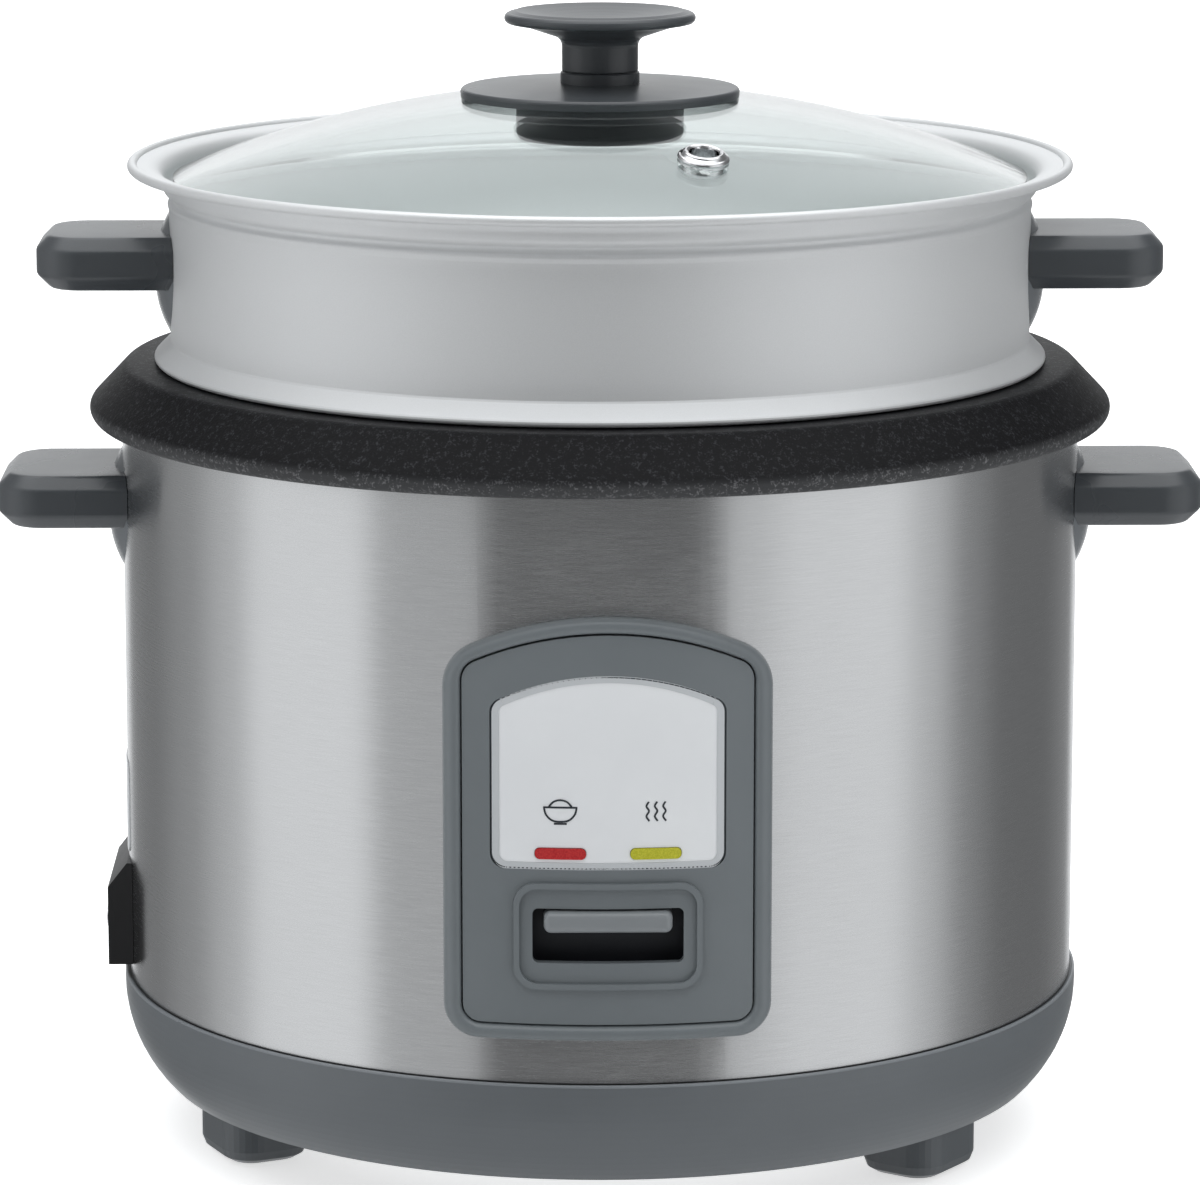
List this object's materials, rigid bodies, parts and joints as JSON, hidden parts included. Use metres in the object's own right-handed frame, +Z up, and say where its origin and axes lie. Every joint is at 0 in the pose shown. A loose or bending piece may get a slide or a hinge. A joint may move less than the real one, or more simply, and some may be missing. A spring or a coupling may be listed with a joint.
{
  "type": "rice cooker",
  "caption": "Drum rice cooker with a brushed steel body, lift-out non-stick pot, aluminium steamer basket and domed glass lid with a vent.",
  "frame": {"origin": "on the vertical axis, on the surface that the feet stand on", "axes": "+Z up, +X to the right seen from the front, the control panel faces -Y and the mains inlet faces -X"},
  "size_m": [0.3388, 0.2878, 0.3177],
  "materials": {
    "base_plastic": "satin moulded, mid grey",
    "dark_plastic": "satin moulded, slate grey",
    "panel_plastic": "satin moulded, grey",
    "black_plastic": "moulded, black",
    "clip_plastic": "moulded, off white",
    "rubber": "moulded",
    "brushed_shell": "brushed round the body",
    "zinc_steel": "zinc plated sheet",
    "screw_steel": "zinc plated",
    "heater_steel": "oxidised by heat",
    "cast_aluminium": "turned casting",
    "satin_aluminium": "satin, spun",
    "nonstick_black": "speckled non-stick coating",
    "ferrite": "ground ceramic magnet",
    "brass_rod": "plain",
    "chrome_ring": "polished",
    "label_white": "printed plate, left blank",
    "lens_red": "translucent",
    "lens_yellow": "translucent",
    "ceramic_white": "glazed",
    "wire_brown": "insulated",
    "wire_blue": "insulated",
    "wire_green": "insulated",
    "clear_glass": "tempered, clear"
  },
  "bodies": {
    "body": {"base_shell": "base_plastic", "feet": "base_plastic", "foot_pads": "rubber", "bottom_cover": "zinc_steel", "cover_screws": "screw_steel", "base_screws": "screw_steel", "outer_shell": "brushed_shell", "rating_plate": "label_white", "inner_liner": "zinc_steel", "top_ring": "dark_plastic", "heating_plate": "cast_aluminium", "heating_tube": "heater_steel", "plate_posts": "screw_steel", "sensor_guide": "zinc_steel", "lever_bracket": "zinc_steel", "lever_pin": "screw_steel", "switch_body": "black_plastic", "switch_pins": "screw_steel", "warm_thermostat": "ceramic_white", "thermal_fuse": "ceramic_white", "lamp_holder": "clip_plastic", "neon_lamps": "clear_glass", "lens_cook": "lens_red", "lens_warm": "lens_yellow", "panel_frame": "panel_plastic", "panel_insert": "panel_plastic", "label_plate": "label_white", "panel_screws": "screw_steel", "inlet_housing": "black_plastic", "inlet_pins": "brass_rod", "inlet_screws": "screw_steel", "live_wire": "wire_brown", "neutral_wire": "wire_blue", "heater_wire": "wire_brown", "earth_wire": "wire_green", "body_handles": "dark_plastic", "body_handle_plates": "base_plastic", "body_handle_screws": "screw_steel"},
    "sensor": {"sensor_cap": "cast_aluminium", "sensor_ferrite": "ferrite", "sensor_spring": "screw_steel"},
    "magnet": {"magnet": "ferrite", "magnet_rod": "brass_rod", "magnet_spring": "screw_steel"},
    "lever": {"cook_lever": "zinc_steel", "lever_tab": "panel_plastic"},
    "plunger": {"switch_plunger": "lens_red"},
    "pot": {"pot": "nonstick_black", "pot_rim": "nonstick_black"},
    "steamer": {"steamer": "satin_aluminium", "steamer_rim": "satin_aluminium", "steamer_handles": "dark_plastic", "steamer_handle_plates": "base_plastic", "steamer_rivets": "satin_aluminium"},
    "lid": {"lid_glass": "clear_glass", "vent_grommet": "chrome_ring", "knob_base": "dark_plastic", "knob": "dark_plastic", "knob_screw": "screw_steel", "lid_inner_cap": "black_plastic"}
  },
  "joints": [
    {"name": "pot_lift", "type": "slide", "parent": "body", "child": "pot", "axis": [0, 0, 1], "range_m": [0, 0.16]},
    {"name": "steamer_lift", "type": "slide", "parent": "pot", "child": "steamer", "axis": [0, 0, 1], "range_m": [0, 0.08]},
    {"name": "lid_lift", "type": "slide", "parent": "steamer", "child": "lid", "axis": [0, 0, 1], "range_m": [0, 0.08]},
    {"name": "lever_press", "type": "hinge", "parent": "body", "child": "lever", "pos_m": [0, -0.045, 0.049], "axis": [1, 0, 0], "range_deg": [0, 4.57], "stiffness_Nm_per_rad": 1.2, "springref_deg": -6.88},
    {"name": "magnet_rise", "type": "slide", "parent": "body", "child": "magnet", "axis": [0, 0, 1], "range_m": [0, 0.0036], "deforming": ["magnet_spring"]},
    {"name": "plunger_press", "type": "slide", "parent": "body", "child": "plunger", "axis": [0, 0, -1], "range_m": [0, 0.0026]},
    {"name": "sensor_rise", "type": "slide", "parent": "body", "child": "sensor", "axis": [0, 0, 1], "range_m": [0, 0.003], "deforming": ["sensor_spring"]}
  ],
  "couplings": [
    {"joint": "magnet_rise", "follows": "lever_press", "m_per_rad": 0.0448},
    {"joint": "plunger_press", "follows": "lever_press", "m_per_rad": 0.03},
    {"joint": "sensor_rise", "follows": "pot_lift", "ratio": 0.01875}
  ]
}
